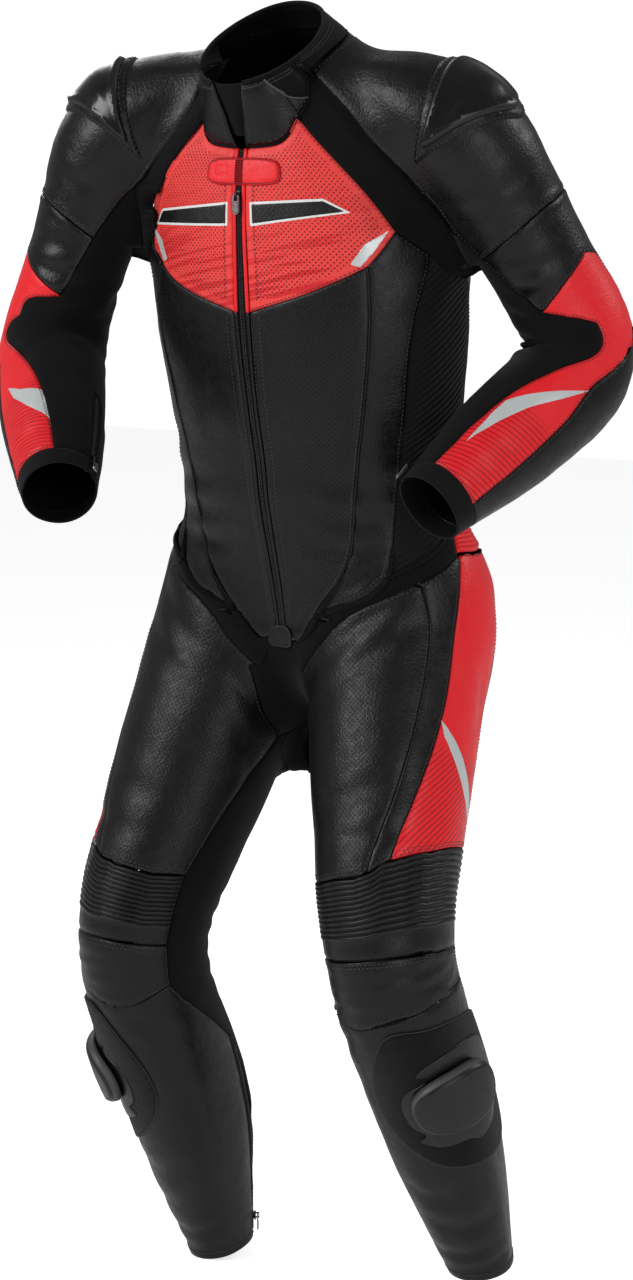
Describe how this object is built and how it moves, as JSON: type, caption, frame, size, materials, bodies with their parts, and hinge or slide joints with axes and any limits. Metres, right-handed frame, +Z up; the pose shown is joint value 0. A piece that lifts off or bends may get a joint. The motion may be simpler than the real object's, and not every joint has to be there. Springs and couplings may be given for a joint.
{
  "type": "motorcycle race suit",
  "caption": "One-piece leather suit in its worn riding pose: hollow body, sleeves and legs with ribbed stretch panels, back hump, shoulder cups, knee sliders and hinged zip pulls",
  "frame": {"origin": "On the wearer's middle plane inside the top of the chest, level with the front of the neck seam, where the shoulders carry the suit", "axes": "+Z up, -Y to the front of the suit, +X to the wearer's left"},
  "size_m": [0.742, 0.5179, 1.5812],
  "materials": {
    "red_leather": "satin, perforated on the chest",
    "black_leather": "satin",
    "grained_leather": "coarse grain, satin",
    "stretch_fabric": "matte, ribbed",
    "cup_plastic": "moulded, matte",
    "slider_plastic": "moulded, satin",
    "zip_tape": "woven tape with a plastic coil",
    "pull_metal": "polished"
  },
  "bodies": {
    "suit": {"chest_L": "red_leather", "chest_R": "red_leather", "raglan_strip_L": "stretch_fabric", "raglan_strip_R": "stretch_fabric", "belly_L": "black_leather", "belly_R": "black_leather", "side_strip_L": "black_leather", "side_strip_R": "black_leather", "flank_L": "stretch_fabric", "flank_R": "stretch_fabric", "shoulder_L": "grained_leather", "shoulder_R": "grained_leather", "upper_sleeve_L": "black_leather", "upper_sleeve_R": "black_leather", "sleeve_red_L": "red_leather", "sleeve_red_R": "red_leather", "forearm_guard_L": "black_leather", "forearm_guard_R": "black_leather", "inner_sleeve_L": "stretch_fabric", "inner_sleeve_R": "stretch_fabric", "cuff_L": "black_leather", "cuff_R": "black_leather", "thigh_front_L": "black_leather", "thigh_front_R": "black_leather", "thigh_strip_L": "black_leather", "thigh_strip_R": "black_leather", "thigh_red_L": "red_leather", "thigh_red_R": "red_leather", "knee_accordion_L": "black_leather", "knee_accordion_R": "black_leather", "knee_band_L": "black_leather", "knee_band_R": "black_leather", "shin_L": "black_leather", "shin_R": "black_leather", "leg_back_L": "stretch_fabric", "leg_back_R": "stretch_fabric", "lumbar_accordion": "red_leather", "back_upper": "black_leather", "gusset": "stretch_fabric", "collar": "stretch_fabric", "collar_bib": "stretch_fabric", "hump": "black_leather", "shoulder_cup_L": "cup_plastic", "shoulder_cup_R": "cup_plastic", "slider_patch_L": "stretch_fabric", "slider_patch_R": "stretch_fabric", "knee_slider_L": "slider_plastic", "knee_slider_R": "slider_plastic", "zip_main": "zip_tape", "cuff_zip_L": "zip_tape", "cuff_zip_R": "zip_tape", "ankle_zip_L": "zip_tape", "ankle_zip_R": "zip_tape", "throat_strap": "red_leather", "zip_guard": "black_leather"},
    "main_pull": {"zip_main_pull": "pull_metal"},
    "left_cuff_pull": {"cuff_pull_L": "pull_metal"},
    "right_cuff_pull": {"cuff_pull_R": "pull_metal"},
    "left_ankle_pull": {"ankle_pull_L": "pull_metal"},
    "right_ankle_pull": {"ankle_pull_R": "pull_metal"}
  },
  "joints": [
    {"name": "main_pull_swing", "type": "hinge", "parent": "suit", "child": "main_pull", "pos_m": [0, -0.0884, -0.09598], "axis": [-1, 0, 0], "range_deg": [0, 120]},
    {"name": "left_cuff_pull_swing", "type": "hinge", "parent": "suit", "child": "left_cuff_pull", "pos_m": [0.20748, -0.04391, -0.40179], "axis": [-0.5814, 0.5587, -0.5915], "range_deg": [0, 120]},
    {"name": "right_cuff_pull_swing", "type": "hinge", "parent": "suit", "child": "right_cuff_pull", "pos_m": [-0.11921, -0.20227, -0.39865], "axis": [-0.2012, -0.6977, 0.6875], "range_deg": [0, 120]},
    {"name": "left_ankle_pull_swing", "type": "hinge", "parent": "suit", "child": "left_ankle_pull", "pos_m": [0.17293, 0.13944, -1.3649], "axis": [0.5035, 0.7938, 0.3413], "range_deg": [0, 120]},
    {"name": "right_ankle_pull_swing", "type": "hinge", "parent": "suit", "child": "right_ankle_pull", "pos_m": [-0.11577, 0.11496, -1.40303], "axis": [0.5304, -0.808, -0.2567], "range_deg": [0, 120]}
  ]
}
